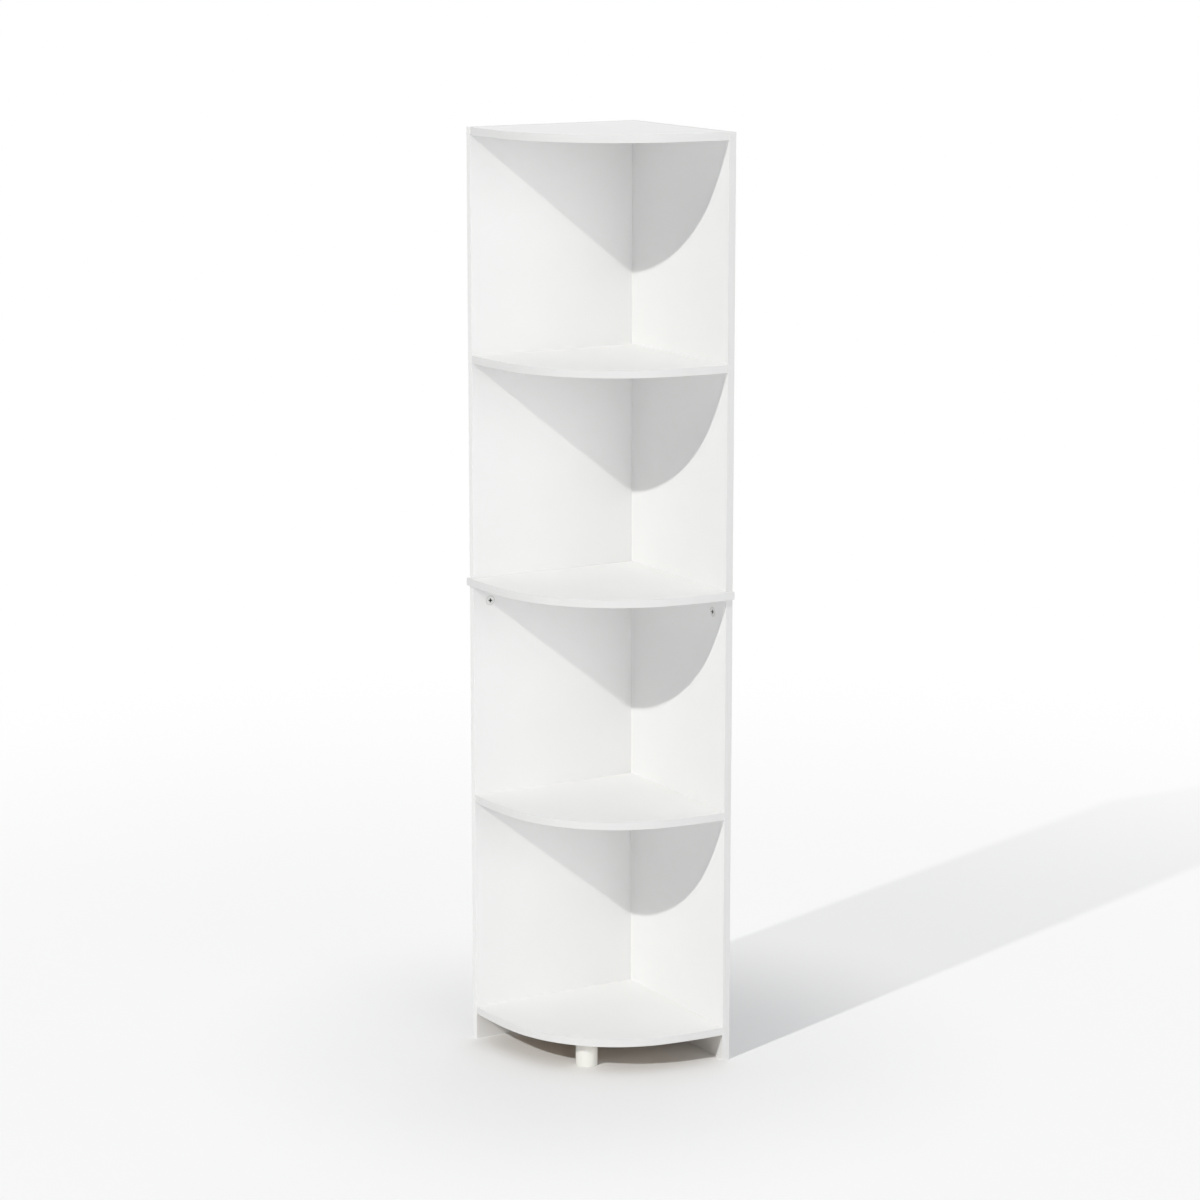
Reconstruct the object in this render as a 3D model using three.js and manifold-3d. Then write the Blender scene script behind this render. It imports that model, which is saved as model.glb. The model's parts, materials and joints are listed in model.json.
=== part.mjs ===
// A corner shelf unit: five quarter-round shelves between two upright panels that meet at
// the room's corner. Each panel is in two lengths, joined through the middle shelf, which
// stands out a little past their fronts. A round foot carries the bottom shelf's front.
// Millimetres, +Z up. The back panel is on the +Y side and the side panel on the +X side,
// and the origin is on the floor under the centre of the whole.
import * as THREE from 'three';
import { mergeVertices } from 'three/addons/utils/BufferGeometryUtils.js';
import Module from 'manifold-3d';

const wasm = await Module();
wasm.setup();

// Driving dimensions of the boards
const boardThickness = 13.5;
const panelDepth = 321; // from the inner corner to the front edge of a panel
const bottomShelfTop = 60; // from the floor to the top face of the bottom shelf
const shelfPitch = 392.5; // from the top face of one shelf to the next
const shelfSetback = 1; // from the front edge of a panel back to the end of a shelf
const middleOverhang = 6; // from the front edge of a panel out to the middle shelf's end
const bandThickness = 0.8; // plastic strip glued over a cut edge
const blindCover = 3.5; // board left over the end of a blind hole
const fitGap = 0.3; // clearance round everything that sits in a hole
const overrun = 1; // how far a cut runs past the face where it starts

// The bow of a shelf front, as shares of its reach along a panel
const bowCentreShare = 0.2412; // distance of the middle arc's centre from each panel
const bowRadiusShare = 0.7415; // radius of that arc

// Screws through the panels, all of one size
const screwLength = 38;
const screwShankRadius = 1.9;
const screwHeadRadius = 3.6;
const screwHeadRim = 0.5; // straight rim above the countersunk cone
const screwHeadDepth = 2.8;
const screwTip = 5; // length of the pointed end
const screwSink = 0.4; // depth of the head below the face
const crossWidth = 1.1; // cross recess of a head
const crossReach = 4.2;
const crossDepth = 1.5;

// Wooden dowels between the lower panels and the middle shelf
const dowelRadius = 4;
const dowelLength = 30;
const dowelChamfer = 0.8;

// Cam locks near the top front of the lower panels, and the bolts that they pull
const camDrop = 29; // from the middle shelf's underside down to the cam's centre
const backCamInset = 33.3; // from the back panel's front edge
const sideCamInset = 43.4; // from the side panel's front edge
const camRadius = 7.5;
const camRimRadius = 8.25;
const camRimSeat = 0.6; // depth of the rim in its recess
const camProud = 0.3; // height of the rim above the panel's face
const camWall = 1.8;
const camTurn = 190; // degrees from locked to open
const camCrossWidth = 2.5;
const camCrossReach = 8;
const camCrossFloor = 1.5; // metal left under the cross
const boltShankRadius = 2.9;
const boltNeckRadius = 1.8;
const boltHeadRadius = 3.1;
const boltHeadLength = 6.2;
const boltTip = 1.5;

// Round foot under the bottom shelf's front
const footSetback = 39; // from the shelf's front in to the foot's centre
const footRadius = 19.3;
const footWall = 2.4;
const footPlate = 4; // top plate that bears on the shelf
const footChamfer = 0.8;
const footBossRadius = 6.5;
const footBossLength = 16;

// Places of the fastenings, as shares of the length that they share out
const shelfScrewShares = [0.2, 0.78]; // along a panel's depth
const upperScrewShares = [0.32, 0.72]; // along a panel's depth
const dowelShares = [0.12, 0.52]; // along a panel's depth
const cornerScrewShares = [0.12, 0.5, 0.88]; // up a panel's height

// Sides of the round pieces and steps of the curved fronts
const screwSides = 10;
const dowelSides = 12;
const boltSides = 12;
const camSides = 28;
const footSides = 36;
const endArcSteps = 3;
const middleArcSteps = 16;

// What follows from the driving dimensions
const levelNames = ['bottom', 'lower', 'middle', 'upper', 'top'];
const middleLevel = levelNames.indexOf('middle');
const shelfTop = (level) => bottomShelfTop + level * shelfPitch;
const shelfUnderside = (level) => shelfTop(level) - boardThickness;
const unitHeight = shelfTop(levelNames.length - 1);
const unitWidth = panelDepth + boardThickness + middleOverhang;
const innerCorner = unitWidth / 2 - boardThickness;
const midBoard = boardThickness / 2;
const shelfReach = panelDepth - shelfSetback;
const middleExtra = shelfSetback + middleOverhang;
const bowCentre = bowCentreShare * shelfReach;
const bowRadius = bowRadiusShare * shelfReach;
const blindBite = boardThickness - blindCover; // length of a fitting that a shelf holds
const camRoof = midBoard - boltHeadRadius - fitGap; // depth of the cam's closed end
const camDepth = midBoard + boltHeadRadius + 2 * fitGap;

const finish = (color, roughness, metalness = 0) => ({ color, roughness, metalness });
const melamine = finish(0xf1f0ed, 0.5);
const bandPlastic = finish(0xf4f3f0, 0.4);
const footPlastic = finish(0xeceae2, 0.45);
const nickel = finish(0xc4c6c8, 0.3, 1);
const zinc = finish(0xb4b8bc, 0.35, 1);
const beech = finish(0xd2b083, 0.7);

// Turns a closed three.js geometry into a solid that can be cut.
function solidOf(geometry) {
  const bare = geometry.clone();
  bare.deleteAttribute('normal');
  bare.deleteAttribute('uv');
  const merged = mergeVertices(bare);
  const corners = merged.index.array;
  const triVerts = [];
  for (let i = 0; i < corners.length; i += 3) {
    const [a, b, c] = corners.slice(i, i + 3);
    if (a !== b && b !== c && c !== a) triVerts.push(a, b, c);
  }
  return new wasm.Manifold(new wasm.Mesh({
    numProp: 3,
    vertProperties: Float32Array.from(merged.attributes.position.array),
    triVerts: Uint32Array.from(triVerts),
  }));
}

// The unit, with its inner corner as the zero of every place below
const unit = new THREE.Group();
unit.position.set(innerCorner, innerCorner, 0);

// Adds a solid to the unit as a named piece, at a place given as a matrix.
function addPiece(name, solid, look, place = new THREE.Matrix4()) {
  const { vertProperties, triVerts } = solid.getMesh();
  const geometry = new THREE.BufferGeometry();
  geometry.setAttribute('position', new THREE.BufferAttribute(vertProperties, 3));
  geometry.setIndex(new THREE.BufferAttribute(triVerts, 1));
  geometry.computeVertexNormals();
  const mesh = new THREE.Mesh(geometry, new THREE.MeshStandardMaterial(look));
  mesh.name = name;
  mesh.applyMatrix4(place);
  unit.add(mesh);
}

// A block between two opposite corners.
function blockGeometry(low, high) {
  const size = high.map((value, axis) => value - low[axis]);
  const centre = high.map((value, axis) => (value + low[axis]) / 2);
  return new THREE.BoxGeometry(...size).translate(...centre);
}

// A flat outline raised from one height to another.
function raised(points, low, high) {
  const settings = { depth: high - low, bevelEnabled: false };
  return new THREE.ExtrudeGeometry(new THREE.Shape(points), settings).translate(0, 0, low);
}

// A profile of [radius, height] points turned about the Z axis.
function turned(profile, sides) {
  const points = profile.map(([radius, height]) => new THREE.Vector2(radius, height));
  return new THREE.LatheGeometry(points, sides).rotateX(Math.PI / 2);
}

// The place of a fitting whose own Z axis points out of a face and whose own Y is given.
function placeOn(position, out, along) {
  const outward = new THREE.Vector3(...out);
  const upward = new THREE.Vector3(...along);
  const across = new THREE.Vector3().crossVectors(upward, outward);
  return new THREE.Matrix4().makeBasis(across, upward, outward).setPosition(...position);
}

// The two pairs of panels. Along a panel, distances are measured from the inner corner.
const panels = {
  back: {
    camInset: backCamInset,
    at: (along, across, height) => [-along, across, height],
    outward: [0, 1, 0],
    inward: [0, -1, 0],
    rearEnd: boardThickness,
  },
  side: {
    camInset: sideCamInset,
    at: (along, across, height) => [across, -along, height],
    outward: [1, 0, 0],
    inward: [-1, 0, 0],
    rearEnd: 0,
  },
};
const up = [0, 0, 1];
const down = [0, 0, -1];
const towardsRoom = [0, -1, 0];

const storeys = {
  lower: { low: 0, high: shelfUnderside(middleLevel) },
  upper: { low: shelfTop(middleLevel), high: unitHeight },
};

// Every hole is a cutter kept under the name of the board that it is cut from.
const cutters = {};
function cutFrom(boardNames, geometry, place) {
  const cutter = solidOf(geometry.clone().applyMatrix4(place));
  for (const name of boardNames) {
    cutters[name] = [...(cutters[name] ?? []), cutter];
  }
}
function addBoard(name, geometry) {
  const whole = solidOf(geometry);
  const board = (cutters[name] ?? []).reduce((rest, cutter) => rest.subtract(cutter), whole);
  addPiece(name, board, melamine);
}

// Countersunk screws, with the face at zero height and the tip below it
function screwProfile(length, gap, top) {
  const shank = screwShankRadius + gap;
  const head = screwHeadRadius + gap;
  return [
    [0, -length - gap],
    [shank, screwTip - length],
    [shank, -screwHeadDepth - gap],
    [head, -screwSink - screwHeadRim - gap],
    [head, top],
    [0, top],
  ];
}
function crossCutter(width, reach, depth, top) {
  const half = width / 2;
  const end = reach / 2;
  const bar = solidOf(blockGeometry([-end, -half, top - depth], [end, half, top + overrun]));
  const stem = solidOf(blockGeometry([-half, -end, top - depth], [half, end, top + overrun]));
  return bar.add(stem);
}
function addScrew(name, boardNames, length, place) {
  const cross = crossCutter(crossWidth, crossReach, crossDepth, -screwSink);
  const body = solidOf(turned(screwProfile(length, 0, -screwSink), screwSides));
  addPiece(name, body.subtract(cross), zinc, place);
  cutFrom(boardNames, turned(screwProfile(length, fitGap, overrun), screwSides), place);
}

// Each shelf but the middle one is held by two screws through each panel.
function screwShelf(level) {
  const name = levelNames[level];
  const storey = level < middleLevel ? 'lower' : 'upper';
  const height = shelfTop(level) - midBoard;
  for (const [side, panel] of Object.entries(panels)) {
    shelfScrewShares.forEach((share, index) => {
      const place = placeOn(panel.at(share * panelDepth, boardThickness, height), panel.outward, up);
      const boards = [`${name}_shelf`, `${storey}_${side}_panel`];
      addScrew(`${name}_shelf_${side}_screw_${index + 1}`, boards, screwLength, place);
    });
  }
}

// The back panel covers the side panel's rear edge, and screws hold it there.
function screwCorner(storey) {
  const { low, high } = storeys[storey];
  cornerScrewShares.forEach((share, index) => {
    const height = low + share * (high - low);
    const place = placeOn([midBoard, boardThickness, height], panels.back.outward, up);
    const boards = [`${storey}_back_panel`, `${storey}_side_panel`];
    addScrew(`${storey}_corner_screw_${index + 1}`, boards, screwLength, place);
  });
}

// The upper panels stand on the middle shelf, screwed from under it.
function screwUpperPanel(side) {
  upperScrewShares.forEach((share, index) => {
    const start = panels[side].at(share * panelDepth, midBoard, shelfUnderside(middleLevel));
    const place = placeOn(start, down, towardsRoom);
    const boards = ['middle_shelf', `upper_${side}_panel`];
    addScrew(`upper_${side}_panel_screw_${index + 1}`, boards, screwLength, place);
  });
}

// Dowels line the lower panels up with the middle shelf.
function addDowels(side) {
  const profile = (gap) => {
    const radius = dowelRadius + gap;
    const low = blindBite - dowelLength - gap;
    const high = blindBite + gap;
    return [
      [0, low],
      [radius - dowelChamfer, low],
      [radius, low + dowelChamfer],
      [radius, high - dowelChamfer],
      [radius - dowelChamfer, high],
      [0, high],
    ];
  };
  dowelShares.forEach((share, index) => {
    const joint = panels[side].at(share * panelDepth, midBoard, shelfUnderside(middleLevel));
    const place = placeOn(joint, up, towardsRoom);
    addPiece(`${side}_dowel_${index + 1}`, solidOf(turned(profile(0), dowelSides)), beech, place);
    const boards = ['middle_shelf', `lower_${side}_panel`];
    cutFrom(boards, turned(profile(fitGap), dowelSides), place);
  });
}

// A cam lock: a cup with a cross in its closed end, turned about its own Z axis. Its wall
// has a wide mouth for the bolt's head and a narrow slot that runs on from it, so that the
// bolt's neck stays in the slot while the cam turns. Its own Y axis points to the bolt.
function camSolid() {
  const cavity = camRadius - camWall;
  const cup = solidOf(turned([
    [0, -camRoof],
    [cavity, -camRoof],
    [cavity, -camDepth],
    [camRadius, -camDepth],
    [camRadius, -camRimSeat],
    [camRimRadius, -camRimSeat],
    [camRimRadius, camProud],
    [0, camProud],
  ], camSides));

  const mouthHalf = boltHeadRadius + fitGap;
  const mouthAngle = Math.PI / 2 - THREE.MathUtils.degToRad(camTurn);
  const mouth = blockGeometry(
    [0, -mouthHalf, -camDepth - overrun],
    [camRadius + overrun, mouthHalf, -camRoof],
  ).rotateZ(mouthAngle);

  const slotHalf = boltNeckRadius + fitGap;
  const slotMargin = Math.asin((slotHalf + fitGap) / cavity);
  const slotEnd = Math.PI / 2 + slotMargin;
  const outer = new THREE.EllipseCurve(
    0, 0, camRadius + overrun, camRadius + overrun, mouthAngle, slotEnd,
  );
  const inner = new THREE.EllipseCurve(
    0, 0, cavity - overrun, cavity - overrun, slotEnd, mouthAngle, true,
  );
  const sector = [...outer.getPoints(camSides), ...inner.getPoints(camSides)];
  const slot = raised(sector, -midBoard - slotHalf, -midBoard + slotHalf);

  const recess = camProud + camRoof - camCrossFloor;
  const cross = crossCutter(camCrossWidth, camCrossReach, recess, camProud);
  return cup.subtract(solidOf(mouth)).subtract(solidOf(slot)).subtract(cross);
}
function camBore() {
  const floor = -camDepth - fitGap;
  const seat = -camRimSeat - fitGap;
  return turned([
    [0, floor],
    [camRadius + fitGap, floor],
    [camRadius + fitGap, seat],
    [camRimRadius + fitGap, seat],
    [camRimRadius + fitGap, overrun],
    [0, overrun],
  ], camSides);
}

// The bolt hangs from the middle shelf, with its head inside the cam. Its zero height is
// the cam's centre.
function boltProfile() {
  const headTop = camRadius - camWall - fitGap;
  const headLow = headTop - boltHeadLength;
  const slope = boltHeadRadius - boltNeckRadius;
  return [
    [0, headLow],
    [boltNeckRadius, headLow],
    [boltHeadRadius, headLow + slope],
    [boltHeadRadius, headTop - slope],
    [boltNeckRadius, headTop],
    [boltNeckRadius, camRadius + fitGap],
    [boltShankRadius, camRadius + fitGap + slope],
    [boltShankRadius, camDrop + blindBite - boltTip],
    [boltNeckRadius, camDrop + blindBite],
    [0, camDrop + blindBite],
  ];
}
function addCamLock(side) {
  const panel = panels[side];
  const along = panelDepth - panel.camInset;
  const height = shelfUnderside(middleLevel) - camDrop;
  const camPlace = placeOn(panel.at(along, 0, height), panel.inward, up);
  addPiece(`${side}_cam_lock`, camSolid(), nickel, camPlace);
  cutFrom([`lower_${side}_panel`], camBore(), camPlace);

  const boltPlace = placeOn(panel.at(along, midBoard, height), up, towardsRoom);
  addPiece(`${side}_cam_bolt`, solidOf(turned(boltProfile(), boltSides)), zinc, boltPlace);
  const boltHole = turned([
    [0, 0],
    [boltShankRadius + fitGap, 0],
    [boltShankRadius + fitGap, camDrop + blindBite + fitGap],
    [0, camDrop + blindBite + fitGap],
  ], boltSides);
  cutFrom([`lower_${side}_panel`, 'middle_shelf'], boltHole, boltPlace);
}

// The foot is a moulded cup with a boss up its middle, screwed on from below.
function addFoot() {
  const top = shelfUnderside(0);
  const bossLow = top - footPlate - footBossLength;
  const bore = screwShankRadius + fitGap;
  const seat = screwHeadRadius + fitGap;
  const inside = footRadius - footWall;
  const seatLow = bossLow + screwSink + screwHeadRim + fitGap;
  const profile = [
    [inside, 0],
    [footRadius - footChamfer, 0],
    [footRadius, footChamfer],
    [footRadius, top],
    [bore, top],
    [bore, bossLow + screwHeadDepth + fitGap],
    [seat, seatLow],
    [seat, bossLow],
    [footBossRadius, bossLow],
    [footBossRadius, top - footPlate],
    [inside, top - footPlate],
    [inside, 0],
  ];
  const fromCorner = (Math.SQRT2 * bowCentre + bowRadius - footSetback) / Math.SQRT2;
  const centre = [-fromCorner, -fromCorner];
  const place = new THREE.Matrix4().setPosition(...centre, 0);
  addPiece('foot', solidOf(turned(profile, footSides)), footPlastic, place);
  const length = footBossLength + footPlate + blindBite;
  addScrew('foot_screw', ['bottom_shelf'], length, placeOn([...centre, bossLow], down, towardsRoom));
}

// A shelf front runs from the back panel to the side panel in three arcs: a flat one that
// leaves each panel squarely, and a tighter one between them. The arcs meet smoothly, and
// a positive offset makes the same front larger all along.
function frontCurve(offset) {
  const rest = shelfReach - bowCentre;
  const flatRadius = (bowRadius ** 2 - rest ** 2 - bowCentre ** 2) / (2 * (bowRadius - rest));
  const flatCentre = flatRadius - shelfReach;
  const sweep = Math.atan2(bowCentre, flatCentre + bowCentre);
  const meet = Math.PI + sweep;
  const end = Math.PI * 1.5;
  const leave = end - sweep;
  const part = (x, y, size, from, to, steps) =>
    new THREE.EllipseCurve(x, y, size + offset, size + offset, from, to).getPoints(steps);
  return [
    ...part(flatCentre, 0, flatRadius, Math.PI, meet, endArcSteps),
    ...part(-bowCentre, -bowCentre, bowRadius, meet, leave, middleArcSteps).slice(1),
    ...part(0, flatCentre, flatRadius, leave, end, endArcSteps).slice(1),
  ];
}

// The middle shelf covers the panels too, so its front starts and ends at their outsides.
function middleFront(offset) {
  const end = shelfReach + offset;
  return [
    new THREE.Vector2(-end, boardThickness),
    ...frontCurve(offset),
    new THREE.Vector2(boardThickness, -end),
  ];
}

// A shelf board and the strip glued round its curved front, both from the same curve.
function addShelf(level) {
  const name = `${levelNames[level]}_shelf`;
  const isMiddle = level === middleLevel;
  const front = isMiddle ? middleFront : frontCurve;
  const rearCorner = isMiddle ? boardThickness : 0;
  const face = isMiddle ? middleExtra : 0;
  const low = shelfUnderside(level);
  const high = shelfTop(level);
  const boardFront = front(face - bandThickness);
  const strip = [...front(face), ...[...boardFront].reverse()];
  addBoard(name, raised([new THREE.Vector2(rearCorner, rearCorner), ...boardFront], low, high));
  addPiece(`${name}_band`, solidOf(raised(strip, low, high)), bandPlastic);
}

// A panel board, the strip on its front edge and, on an upper panel, one on its top edge.
function addPanel(storey, side) {
  const panel = panels[side];
  const name = `${storey}_${side}_panel`;
  const { low, high } = storeys[storey];
  const isTop = high === unitHeight;
  const boardHigh = isTop ? high - bandThickness : high;
  const boardFront = panelDepth - bandThickness;
  const block = (fromAlong, toAlong, bottom, top) => {
    const ends = [panel.at(fromAlong, 0, bottom), panel.at(toAlong, boardThickness, top)];
    const lowest = ends[0].map((value, axis) => Math.min(value, ends[1][axis]));
    const highest = ends[0].map((value, axis) => Math.max(value, ends[1][axis]));
    return blockGeometry(lowest, highest);
  };
  addBoard(name, block(-panel.rearEnd, boardFront, low, boardHigh));
  addPiece(`${name}_front_band`, solidOf(block(boardFront, panelDepth, low, high)), bandPlastic);
  if (isTop) {
    const topBand = block(-panel.rearEnd, boardFront, boardHigh, high);
    addPiece(`${name}_top_band`, solidOf(topBand), bandPlastic);
  }
}

// The fastenings come first, because they leave the cutters for the boards.
levelNames.forEach((name, level) => {
  if (level !== middleLevel) screwShelf(level);
});
Object.keys(storeys).forEach(screwCorner);
for (const side of Object.keys(panels)) {
  screwUpperPanel(side);
  addDowels(side);
  addCamLock(side);
}
addFoot();

levelNames.forEach((name, level) => addShelf(level));
for (const storey of Object.keys(storeys)) {
  for (const side of Object.keys(panels)) addPanel(storey, side);
}

export default unit;
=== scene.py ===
# %% [markdown]
# # A corner shelf unit
# The real thing comes flat in a box: nine boards of chipboard under white foil, a thin
# plastic strip on every edge that shows, screws, dowels and two cam locks that hold the
# boards together, and one round foot. The frame brings a plain solid of each piece at its
# true size and place. Here every piece is made again with its fine shape and its finish,
# and takes the place of its solid.

# %% Load the frame
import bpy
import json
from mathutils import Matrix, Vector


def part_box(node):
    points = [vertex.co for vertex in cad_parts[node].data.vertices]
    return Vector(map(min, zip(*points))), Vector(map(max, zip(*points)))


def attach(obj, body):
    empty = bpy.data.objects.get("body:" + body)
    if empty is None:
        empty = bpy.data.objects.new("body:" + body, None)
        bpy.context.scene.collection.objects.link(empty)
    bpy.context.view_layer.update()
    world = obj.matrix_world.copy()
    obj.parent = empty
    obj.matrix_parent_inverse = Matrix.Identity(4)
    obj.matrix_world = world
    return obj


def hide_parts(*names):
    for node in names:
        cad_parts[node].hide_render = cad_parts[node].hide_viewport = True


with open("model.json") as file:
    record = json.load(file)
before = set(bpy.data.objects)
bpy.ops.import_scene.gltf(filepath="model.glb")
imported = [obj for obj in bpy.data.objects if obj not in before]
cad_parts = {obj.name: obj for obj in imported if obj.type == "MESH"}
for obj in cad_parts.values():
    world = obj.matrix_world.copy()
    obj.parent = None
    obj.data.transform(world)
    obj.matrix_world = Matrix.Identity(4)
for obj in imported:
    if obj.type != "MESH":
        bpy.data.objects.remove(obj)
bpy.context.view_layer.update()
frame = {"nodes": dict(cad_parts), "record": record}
print("solids in the frame:", len(frame["nodes"]))

# %% Bring in the tools
import json
import math
import random
import bmesh
import bpy
from mathutils import Matrix, Vector

MILLIMETRE = 0.001
scene = bpy.context.scene
print("Blender", bpy.app.version_string)

# %% [markdown]
# ## The measures that the boards give
# A script that types sizes again goes wrong when the furniture changes. So the thickness
# of a board, the corner where the two panels meet and the reach of a shelf are read off
# the boxes round the solids, and only what no box shows, such as the way a shelf's front
# bows, is set here. The bow is given as shares of the reach, so it grows with the shelf.

# %% Read the measures off the solids
back_panel_low, back_panel_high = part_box("lower_back_panel")
side_panel_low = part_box("lower_side_panel")[0]
front_strip_low, front_strip_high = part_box("lower_back_panel_front_band")
shelf_strip_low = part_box("bottom_shelf_band")[0]
middle_strip_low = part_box("middle_shelf_band")[0]

board_thickness = back_panel_high.y - back_panel_low.y
strip_thickness = front_strip_high.x - front_strip_low.x
corner = Vector((side_panel_low.x, back_panel_low.y, 0))
shelf_reach = corner.x - shelf_strip_low.x
middle_extra = shelf_strip_low.x - middle_strip_low.x
print("board", round(board_thickness, 5), "strip", round(strip_thickness, 5))
print("shelf reach", round(shelf_reach, 4), "middle shelf reaches", round(middle_extra, 4), "further")

# %% [markdown]
# ## Where the camera stands
# The camera looks into the open corner: it stands in front of the back panel, thirty
# degrees round to the left, and a little above. It could be aimed with a constraint, but
# a heading and a dip in degrees say more to a reader, and they stay as they are when the
# furniture changes. It has no lens shift, so that it also works from every other side.

# %% Camera
CAMERA_PLACE = (-2.948, -5.125, 2.053)
CAMERA_HEADING = 29.92
CAMERA_DIP = 11.8
CAMERA_LENS = 104.3

camera_data = bpy.data.cameras.new("camera")
camera_data.lens = CAMERA_LENS
camera = bpy.data.objects.new("camera", camera_data)
camera.location = CAMERA_PLACE
camera.rotation_euler = (math.radians(90 - CAMERA_DIP), 0, math.radians(-CAMERA_HEADING))
scene.collection.objects.link(camera)
scene.camera = camera
scene.view_settings.view_transform = "Standard"
print("camera", CAMERA_LENS, "mm, distance", round((Vector(CAMERA_PLACE) - corner).length, 2), "m")

# %% [markdown]
# ## Node trees written as sums
# A finish is a tree of small nodes. Clicking them together is fine for one, but a script
# with a line for every link hides what the finish does. So one small class stands for a
# node's output and lets it be added and multiplied like a number, and one method adds
# any other node: its settings first, and then what its sockets take.

# %% A wire that can be used in a sum
class Wire:
    """An output of a node. A sum of wires and numbers adds the Math nodes for it."""

    def __init__(self, book, socket):
        self.book = book
        self.socket = socket

    def sum_of(self, operation, first, second):
        return self.book.add("ShaderNodeMath", {"operation": operation}, {0: first, 1: second})

    def __add__(self, other):
        return self.sum_of("ADD", self, other)

    def __radd__(self, other):
        return self.sum_of("ADD", other, self)

    def __sub__(self, other):
        return self.sum_of("SUBTRACT", self, other)

    def __mul__(self, other):
        return self.sum_of("MULTIPLY", self, other)

    def __rmul__(self, other):
        return self.sum_of("MULTIPLY", other, self)


# %% A book of nodes
class NodeBook:
    """A node tree, with one method that adds a node of any kind to it."""

    def __init__(self, tree):
        self.tree = tree
        self.tree.nodes.clear()

    def add(self, kind, settings=None, sockets=None, output=0):
        """Adds a node: first its settings, then the values or wires of its sockets."""
        node = self.tree.nodes.new(kind)
        for name, value in (settings or {}).items():
            if name == "stops":
                self.set_stops(node.color_ramp.elements, value)
            else:
                setattr(node, name, value)
        for name, value in (sockets or {}).items():
            self.feed(node.inputs[name], value)
        return Wire(self, node.outputs[output] if node.outputs else None)

    def set_stops(self, elements, stops):
        while len(elements) < len(stops):
            elements.new(1)
        for element, (position, colour) in zip(elements, stops):
            element.position = position
            element.color = (*colour, 1)

    def feed(self, socket, value):
        if isinstance(value, Wire):
            self.tree.links.new(value.socket, socket)
        else:
            socket.default_value = value

    def noise(self, place, scale, detail=2, output=0):
        """A noise of 0 to 1, with about as many waves to the metre as its scale."""
        sockets = {"Vector": place, "Scale": scale, "Detail": detail}
        return self.add("ShaderNodeTexNoise", None, sockets, output)

    def drawn_noise(self, place, scales, detail=2):
        """A noise with a scale of its own along each axis."""
        drawn = self.add("ShaderNodeMapping", None, {"Vector": place, "Scale": scales})
        return self.noise(drawn, 1, detail)

    def between(self, share, first, second):
        """A colour between two. A Mix node takes its colours at sockets 6 and 7."""
        sockets = {0: share, 6: (*first, 1), 7: (*second, 1)}
        return self.add("ShaderNodeMix", {"data_type": "RGBA"}, sockets, output=2)


# %% A finish is a book of nodes with a shader in it
class Finish(NodeBook):
    """A material whose patterns follow the place on the object, in metres."""

    def __init__(self, name, **uniform):
        self.material = bpy.data.materials.new(name)
        self.material.use_nodes = True
        super().__init__(self.material.node_tree)
        self.place = self.add("ShaderNodeTexCoord", output="Object")
        self.shader = self.tree.nodes.new("ShaderNodeBsdfPrincipled")
        self.matt = Wire(self, self.shader.outputs["BSDF"])
        self.output = self.tree.nodes.new("ShaderNodeOutputMaterial")
        self.feed(self.output.inputs["Surface"], self.matt)
        for socket, value in uniform.items():
            self.put(socket, value)

    def put(self, socket, value):
        """Gives one of the shader's sockets a value or a pattern."""
        self.feed(self.shader.inputs[socket], value)

    def raise_by(self, height, depth, strength=1):
        """Lets a pattern of 0 to 1 stand up from the surface by a depth in metres."""
        sockets = {"Height": height, "Distance": depth, "Strength": strength}
        self.put("Normal", self.add("ShaderNodeBump", None, sockets))


# %% [markdown]
# ## White melamine foil
# The boards are covered on both faces with paper soaked in resin, pressed hard on to the
# chips. It is white all through, a little uneven over a hand's width, and its press plate
# leaves a fine pearl of about a millimetre, which spreads a reflection without hiding it.
# A picture of such a board would tile and blur, so two noises make it: one as wide as a
# hand for the tone, one as small as the pearl for the relief and the gloss.

# %% Finish: white foil
FOIL_DULL = (0.842, 0.842, 0.836)
FOIL_BRIGHT = (0.872, 0.872, 0.868)


def foil_finish():
    finish = Finish("white_foil")
    cloud = finish.noise(finish.place, scale=7, detail=3)
    pearl = finish.noise(finish.place, scale=1100)
    finish.put("Base Color", finish.between(cloud, FOIL_DULL, FOIL_BRIGHT))
    finish.put("Roughness", 0.4 + 0.08 * pearl + 0.05 * cloud)
    finish.raise_by(pearl, depth=0.02 * MILLIMETRE, strength=0.6)
    return finish


white_foil = foil_finish()
print("foil nodes:", len(white_foil.tree.nodes))

# %% [markdown]
# ## The edge strip
# The strip is a plastic tape, rolled and glued on hot, then trimmed and scraped. The
# scraper runs along the edge, so its faint marks do too. The same finish is used for
# tape that lies along a shelf and tape that stands along a panel: only the way in which
# the noise is drawn out changes. The tape has two tones that are lit and shaded copies of
# one white: the fronts of the back panels wear the lighter one, painted light where the
# light from the left falls more fully, so that they hardly stand out from the foil, and
# all other strips wear the darker one, painted shade.

# %% Finish: edge strip
ALONG_SHELF = (12, 12, 1500)
UP_PANEL = (1500, 1500, 8)
# Two tones of one tape: the darker is painted shade, the lighter is painted light.
SHADED_STRIP_WHITE = ((0.735, 0.735, 0.73), (0.765, 0.765, 0.76))
LIT_STRIP_WHITE = ((0.855, 0.855, 0.85), (0.885, 0.885, 0.88))


def strip_finish(name, scraped, dull, bright):
    finish = Finish(name)
    cloud = finish.noise(finish.place, scale=9)
    marks = finish.drawn_noise(finish.place, scraped, detail=3)
    finish.put("Base Color", finish.between(cloud, dull, bright))
    finish.put("Roughness", 0.32 + 0.1 * marks)
    finish.raise_by(marks, depth=0.02 * MILLIMETRE, strength=0.5)
    return finish


# Strips on the shelves, on the panels' tops and on the side panel's front wear the painted-shade
# white.
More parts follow.
